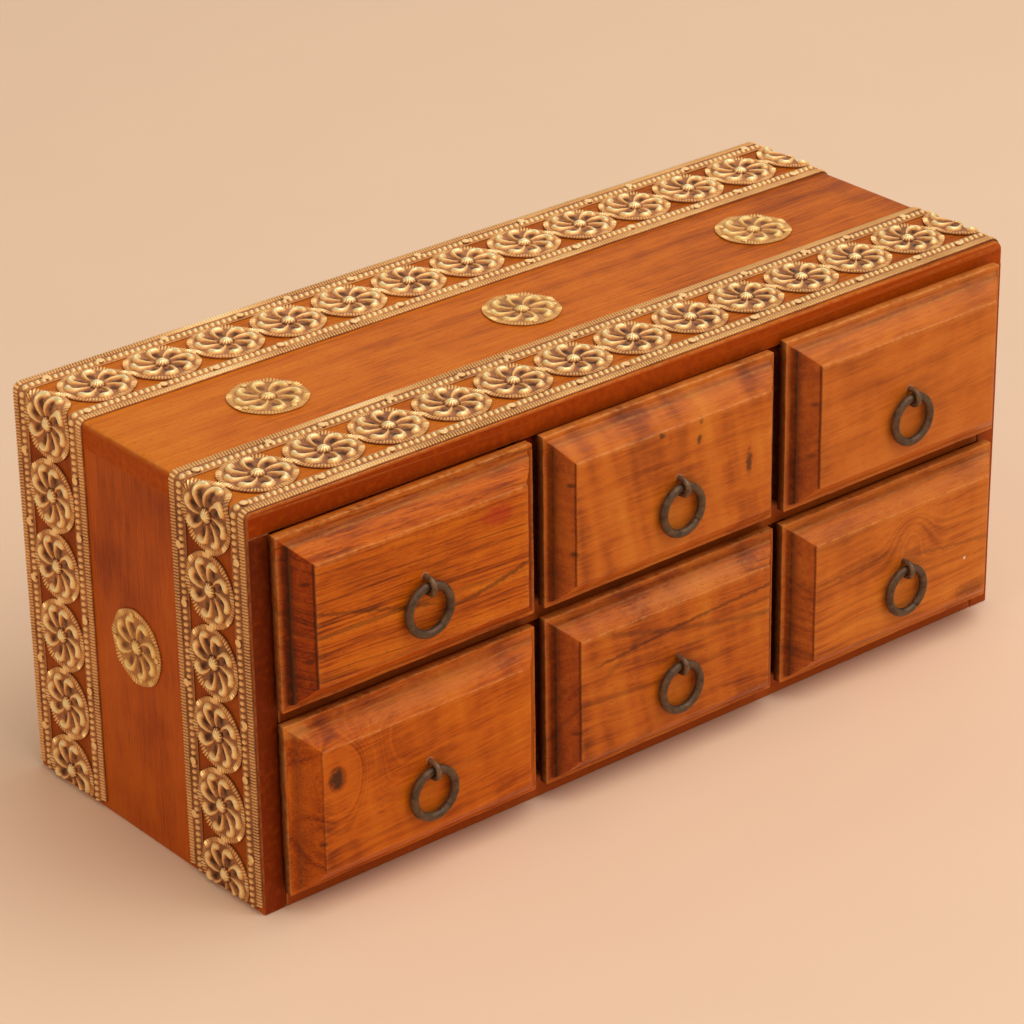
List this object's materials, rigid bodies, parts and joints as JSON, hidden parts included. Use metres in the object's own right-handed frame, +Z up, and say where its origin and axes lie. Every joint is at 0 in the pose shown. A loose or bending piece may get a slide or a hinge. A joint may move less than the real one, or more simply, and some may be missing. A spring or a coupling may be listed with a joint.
{
  "type": "tabletop chest of drawers",
  "caption": "Small wooden tabletop chest with moulded drawers, iron ring pulls, and openwork brass straps and medallions over the top and sides; the drawers slide and the rings swing.",
  "frame": {"origin": "middle of the carcass's underside, on the surface that the chest stands on", "axes": "+X along the chest's length to the right as seen from the front, +Y to the back (the drawers open towards -Y), +Z up"},
  "size_m": [0.258, 0.1135, 0.1125],
  "materials": {
    "top_wood": "satin varnish",
    "side_wood": "satin varnish",
    "front_wood": "satin varnish",
    "inner_wood": "bare, sawn",
    "aged_brass": "aged, dark in the hollows",
    "dark_iron": "oxidised"
  },
  "bodies": {
    "carcass": {"top_board": "top_wood", "left_side_board": "side_wood", "right_side_board": "side_wood", "bottom_board": "front_wood", "back_panel": "inner_wood", "shelf": "front_wood", "upper_left_divider": "inner_wood", "upper_right_divider": "inner_wood", "lower_left_divider": "inner_wood", "lower_right_divider": "inner_wood", "front_brass_strap": "aged_brass", "rear_brass_strap": "aged_brass", "top_left_medallion": "aged_brass", "top_middle_medallion": "aged_brass", "top_right_medallion": "aged_brass", "left_side_medallion": "aged_brass", "right_side_medallion": "aged_brass"},
    "lower_left_drawer": {"lower_left_drawer_front": "front_wood", "lower_left_drawer_left_side": "inner_wood", "lower_left_drawer_right_side": "inner_wood", "lower_left_drawer_back": "inner_wood", "lower_left_drawer_bottom": "inner_wood", "lower_left_drawer_eye": "dark_iron"},
    "lower_left_drawer_ring": {"lower_left_drawer_ring": "dark_iron"},
    "lower_middle_drawer": {"lower_middle_drawer_front": "front_wood", "lower_middle_drawer_left_side": "inner_wood", "lower_middle_drawer_right_side": "inner_wood", "lower_middle_drawer_back": "inner_wood", "lower_middle_drawer_bottom": "inner_wood", "lower_middle_drawer_eye": "dark_iron"},
    "lower_middle_drawer_ring": {"lower_middle_drawer_ring": "dark_iron"},
    "lower_right_drawer": {"lower_right_drawer_front": "front_wood", "lower_right_drawer_left_side": "inner_wood", "lower_right_drawer_right_side": "inner_wood", "lower_right_drawer_back": "inner_wood", "lower_right_drawer_bottom": "inner_wood", "lower_right_drawer_eye": "dark_iron"},
    "lower_right_drawer_ring": {"lower_right_drawer_ring": "dark_iron"},
    "upper_left_drawer": {"upper_left_drawer_front": "front_wood", "upper_left_drawer_left_side": "inner_wood", "upper_left_drawer_right_side": "inner_wood", "upper_left_drawer_back": "inner_wood", "upper_left_drawer_bottom": "inner_wood", "upper_left_drawer_eye": "dark_iron"},
    "upper_left_drawer_ring": {"upper_left_drawer_ring": "dark_iron"},
    "upper_middle_drawer": {"upper_middle_drawer_front": "front_wood", "upper_middle_drawer_left_side": "inner_wood", "upper_middle_drawer_right_side": "inner_wood", "upper_middle_drawer_back": "inner_wood", "upper_middle_drawer_bottom": "inner_wood", "upper_middle_drawer_eye": "dark_iron"},
    "upper_middle_drawer_ring": {"upper_middle_drawer_ring": "dark_iron"},
    "upper_right_drawer": {"upper_right_drawer_front": "front_wood", "upper_right_drawer_left_side": "inner_wood", "upper_right_drawer_right_side": "inner_wood", "upper_right_drawer_back": "inner_wood", "upper_right_drawer_bottom": "inner_wood", "upper_right_drawer_eye": "dark_iron"},
    "upper_right_drawer_ring": {"upper_right_drawer_ring": "dark_iron"}
  },
  "joints": [
    {"name": "lower_left_drawer_slide", "type": "slide", "parent": "carcass", "child": "lower_left_drawer", "axis": [0, -1, 0], "range_m": [0, 0.07]},
    {"name": "lower_left_drawer_ring_swing", "type": "hinge", "parent": "lower_left_drawer", "child": "lower_left_drawer_ring", "pos_m": [-0.08233, -0.0614, 0.02975], "axis": [-1, 0, 0], "range_deg": [0, 180]},
    {"name": "lower_middle_drawer_slide", "type": "slide", "parent": "carcass", "child": "lower_middle_drawer", "axis": [0, -1, 0], "range_m": [0, 0.07]},
    {"name": "lower_middle_drawer_ring_swing", "type": "hinge", "parent": "lower_middle_drawer", "child": "lower_middle_drawer_ring", "pos_m": [0, -0.0614, 0.02975], "axis": [-1, 0, 0], "range_deg": [0, 180]},
    {"name": "lower_right_drawer_slide", "type": "slide", "parent": "carcass", "child": "lower_right_drawer", "axis": [0, -1, 0], "range_m": [0, 0.07]},
    {"name": "lower_right_drawer_ring_swing", "type": "hinge", "parent": "lower_right_drawer", "child": "lower_right_drawer_ring", "pos_m": [0.08233, -0.0614, 0.02975], "axis": [-1, 0, 0], "range_deg": [0, 180]},
    {"name": "upper_left_drawer_slide", "type": "slide", "parent": "carcass", "child": "upper_left_drawer", "axis": [0, -1, 0], "range_m": [0, 0.07]},
    {"name": "upper_left_drawer_ring_swing", "type": "hinge", "parent": "upper_left_drawer", "child": "upper_left_drawer_ring", "pos_m": [-0.08233, -0.0614, 0.08125], "axis": [-1, 0, 0], "range_deg": [0, 180]},
    {"name": "upper_middle_drawer_slide", "type": "slide", "parent": "carcass", "child": "upper_middle_drawer", "axis": [0, -1, 0], "range_m": [0, 0.07]},
    {"name": "upper_middle_drawer_ring_swing", "type": "hinge", "parent": "upper_middle_drawer", "child": "upper_middle_drawer_ring", "pos_m": [0, -0.0614, 0.08125], "axis": [-1, 0, 0], "range_deg": [0, 180]},
    {"name": "upper_right_drawer_slide", "type": "slide", "parent": "carcass", "child": "upper_right_drawer", "axis": [0, -1, 0], "range_m": [0, 0.07]},
    {"name": "upper_right_drawer_ring_swing", "type": "hinge", "parent": "upper_right_drawer", "child": "upper_right_drawer_ring", "pos_m": [0.08233, -0.0614, 0.08125], "axis": [-1, 0, 0], "range_deg": [0, 180]}
  ]
}
